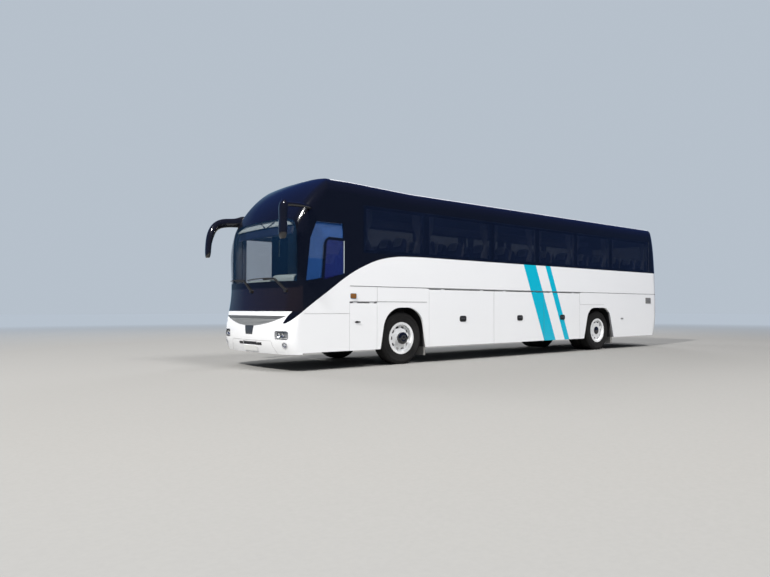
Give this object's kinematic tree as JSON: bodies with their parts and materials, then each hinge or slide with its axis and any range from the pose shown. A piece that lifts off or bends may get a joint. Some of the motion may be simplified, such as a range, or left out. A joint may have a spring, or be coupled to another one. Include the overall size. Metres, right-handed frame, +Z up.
{
  "type": "coach bus",
  "caption": "Long-distance coach with bowed nose, wrapped windscreen, flush side glazing, opening luggage doors, steering front wheels and twin rear wheels.",
  "frame": {"origin": "on the ground under the centre of the whole bus, mirrors included", "axes": "+X forward, +Y to the left, +Z up"},
  "size_m": [13.0499, 3.0626, 3.612],
  "materials": {
    "white_paint": "glossy white coach enamel",
    "black_paint": "glossy black enamel",
    "grille_grey": "satin grey moulding",
    "lamp_clear": "clear lamp cover",
    "lamp_red": "red lamp lens",
    "clear_glass": "clear laminated glass",
    "tinted_glass": "dark tinted glass",
    "door_glass": "tinted glass",
    "rubber": "matt black rubber",
    "tyre": "tyre rubber",
    "rim_white": "white wheel trim",
    "chassis": "black chassis paint",
    "cast": "cast iron",
    "floor": "grey floor covering",
    "lining": "grey lining",
    "seat_fabric": "dark blue seat cloth",
    "dash": "dark grey soft-touch moulding",
    "black_plastic": "black moulding",
    "roof_grey": "light grey moulding"
  },
  "bodies": {
    "body_shell": {"bumper": "white_paint", "headlamps": "lamp_clear", "grille": "grille_grey", "front_mask": "black_paint", "windscreen": "clear_glass", "front_dome": "black_paint", "roof": "white_paint", "roof_unit": "roof_grey", "left_upper_wall": "white_paint", "right_upper_wall": "white_paint", "left_lower_wall": "white_paint", "right_lower_wall": "white_paint", "front_door": "black_paint", "middle_door": "white_paint", "side_windows": "tinted_glass", "rear_wall": "white_paint", "rear_window": "door_glass", "tail_lamps": "lamp_red", "passenger_floor": "floor", "wheel_housings": "lining", "luggage_bay": "lining", "underframe": "chassis", "axles": "chassis", "mudflaps": "rubber", "engine": "cast", "dashboard": "dash", "driver_seat": "seat_fabric", "left_seats": "seat_fabric", "right_seats": "seat_fabric", "luggage_racks": "lining", "mirrors": "black_plastic", "wipers": "black_plastic"},
    "left_knuckle": {"left_knuckle": "cast"},
    "right_knuckle": {"right_knuckle": "cast"},
    "front_left_wheel": {"front_left_tyre": "tyre", "front_left_rim": "rim_white"},
    "front_right_wheel": {"front_right_tyre": "tyre", "front_right_rim": "rim_white"},
    "rear_left_wheels": {"rear_left_tyres": "tyre", "rear_left_rim": "rim_white"},
    "rear_right_wheels": {"rear_right_tyres": "tyre", "rear_right_rim": "rim_white"},
    "steering_wheel": {"steering_wheel": "dash"},
    "left_luggage_door_1": {"left_luggage_door_1": "white_paint"},
    "left_luggage_door_2": {"left_luggage_door_2": "white_paint"},
    "left_luggage_door_3": {"left_luggage_door_3": "white_paint"},
    "right_luggage_door_1": {"right_luggage_door_1": "white_paint"},
    "right_luggage_door_3": {"right_luggage_door_3": "white_paint"},
    "service_flap": {"service_flap": "white_paint"},
    "engine_lid": {"engine_lid": "white_paint"}
  },
  "joints": [
    {"name": "steer_left", "type": "hinge", "parent": "body_shell", "child": "left_knuckle", "pos_m": [3.595, 0.9, 0.51], "axis": [0, 0, 1], "range_deg": [-42, 42]},
    {"name": "steer_right", "type": "hinge", "parent": "body_shell", "child": "right_knuckle", "pos_m": [3.595, -0.9, 0.51], "axis": [0, 0, 1], "range_deg": [-42, 42]},
    {"name": "turn_steering_wheel", "type": "hinge", "parent": "body_shell", "child": "steering_wheel", "pos_m": [5.745, 0.62, 1.6], "axis": [-0.5, 0, 0.866], "range_deg": [-672, 672]},
    {"name": "spin_front_left", "type": "hinge", "parent": "left_knuckle", "child": "front_left_wheel", "pos_m": [3.595, 1.055, 0.51], "axis": [0, 1, 0], "continuous": true},
    {"name": "spin_front_right", "type": "hinge", "parent": "right_knuckle", "child": "front_right_wheel", "pos_m": [3.595, -1.055, 0.51], "axis": [0, 1, 0], "continuous": true},
    {"name": "spin_rear_left", "type": "hinge", "parent": "body_shell", "child": "rear_left_wheels", "pos_m": [-3.305, 0.875, 0.51], "axis": [0, 1, 0], "continuous": true},
    {"name": "spin_rear_right", "type": "hinge", "parent": "body_shell", "child": "rear_right_wheels", "pos_m": [-3.305, -0.875, 0.51], "axis": [0, 1, 0], "continuous": true},
    {"name": "lift_left_luggage_door_1", "type": "hinge", "parent": "body_shell", "child": "left_luggage_door_1", "pos_m": [1.9275, 1.265, 1.497], "axis": [1, 0, 0], "range_deg": [0, 85]},
    {"name": "lift_left_luggage_door_2", "type": "hinge", "parent": "body_shell", "child": "left_luggage_door_2", "pos_m": [0.0255, 1.265, 1.497], "axis": [1, 0, 0], "range_deg": [0, 85]},
    {"name": "lift_left_luggage_door_3", "type": "hinge", "parent": "body_shell", "child": "left_luggage_door_3", "pos_m": [-1.6295, 1.265, 1.497], "axis": [1, 0, 0], "range_deg": [0, 85]},
    {"name": "lift_right_luggage_door_1", "type": "hinge", "parent": "body_shell", "child": "right_luggage_door_1", "pos_m": [1.9275, -1.265, 1.497], "axis": [-1, 0, 0], "range_deg": [0, 85]},
    {"name": "lift_right_luggage_door_3", "type": "hinge", "parent": "body_shell", "child": "right_luggage_door_3", "pos_m": [-1.6295, -1.265, 1.497], "axis": [-1, 0, 0], "range_deg": [0, 85]},
    {"name": "lift_service_flap", "type": "hinge", "parent": "body_shell", "child": "service_flap", "pos_m": [4.594, 1.265, 1.208], "axis": [1, 0, 0], "range_deg": [0, 85]},
    {"name": "lift_engine_lid", "type": "hinge", "parent": "body_shell", "child": "engine_lid", "pos_m": [-6.503, 0, 1.807], "axis": [0, 1, 0], "range_deg": [0, 80]}
  ],
  "couplings": [
    {"joint": "steer_right", "follows": "steer_left", "ratio": 1},
    {"joint": "turn_steering_wheel", "follows": "steer_left", "ratio": 16}
  ]
}
